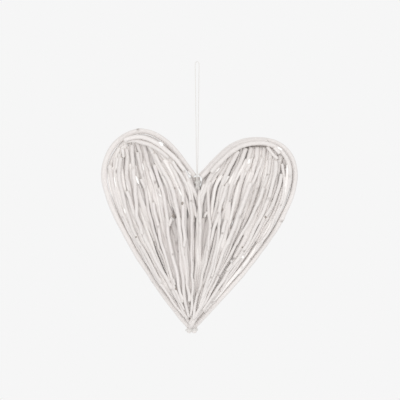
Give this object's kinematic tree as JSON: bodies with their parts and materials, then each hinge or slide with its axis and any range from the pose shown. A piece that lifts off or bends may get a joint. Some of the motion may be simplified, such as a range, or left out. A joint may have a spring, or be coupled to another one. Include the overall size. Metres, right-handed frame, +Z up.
{
  "type": "wicker hanging heart",
  "caption": "Hanging heart ornament of white-washed willow rods fanned between two bent rims, on a long loop of string.",
  "frame": {"origin": "inside top of the string loop, where the heart hangs", "axes": "+Z up along the string, +X to the right of the front, the front faces -Y"},
  "size_m": [0.3452, 0.0652, 0.4785],
  "materials": {
    "willow": "matt white wash over willow rods",
    "string": "twisted cotton string"
  },
  "bodies": {
    "root": {"arch_rod_left_lower": "willow", "arch_rod_left_upper": "willow", "arch_rod_right": "willow", "back_arch_rod_left": "willow", "back_arch_rod_right": "willow", "back_rods_left": "willow", "back_rods_right": "willow", "cleft_peg": "willow", "cord_knot": "string", "crossing_rod_right": "willow", "fill_rod_left_01": "willow", "fill_rod_left_02": "willow", "fill_rod_left_03": "willow", "fill_rod_left_04": "willow", "fill_rod_left_05": "willow", "fill_rod_left_06": "willow", "fill_rod_left_07": "willow", "fill_rod_left_08": "willow", "fill_rod_left_09": "willow", "fill_rod_left_10": "willow", "fill_rod_left_11": "willow", "fill_rod_left_12": "willow", "fill_rod_left_13": "willow", "fill_rod_left_14": "willow", "fill_rod_left_15": "willow", "fill_rod_left_16": "willow", "fill_rod_left_17": "willow", "fill_rod_left_18": "willow", "fill_rod_left_19": "willow", "fill_rod_left_20": "willow", "fill_rod_right_01": "willow", "fill_rod_right_02": "willow", "fill_rod_right_03": "willow", "fill_rod_right_04": "willow", "fill_rod_right_05": "willow", "fill_rod_right_06": "willow", "fill_rod_right_07": "willow", "fill_rod_right_08": "willow", "fill_rod_right_09": "willow", "fill_rod_right_10": "willow", "fill_rod_right_11": "willow", "fill_rod_right_12": "willow", "fill_rod_right_13": "willow", "fill_rod_right_14": "willow", "fill_rod_right_15": "willow", "fill_rod_right_16": "willow", "fill_rod_right_17": "willow", "fill_rod_right_18": "willow", "fill_rod_right_19": "willow", "fill_rod_right_20": "willow", "fill_rod_right_21": "willow", "flank_rod_right": "willow", "hanging_cord": "string", "rim_rod_left": "willow", "rim_rod_right": "willow", "tip_tie": "string"}
  },
  "joints": []
}
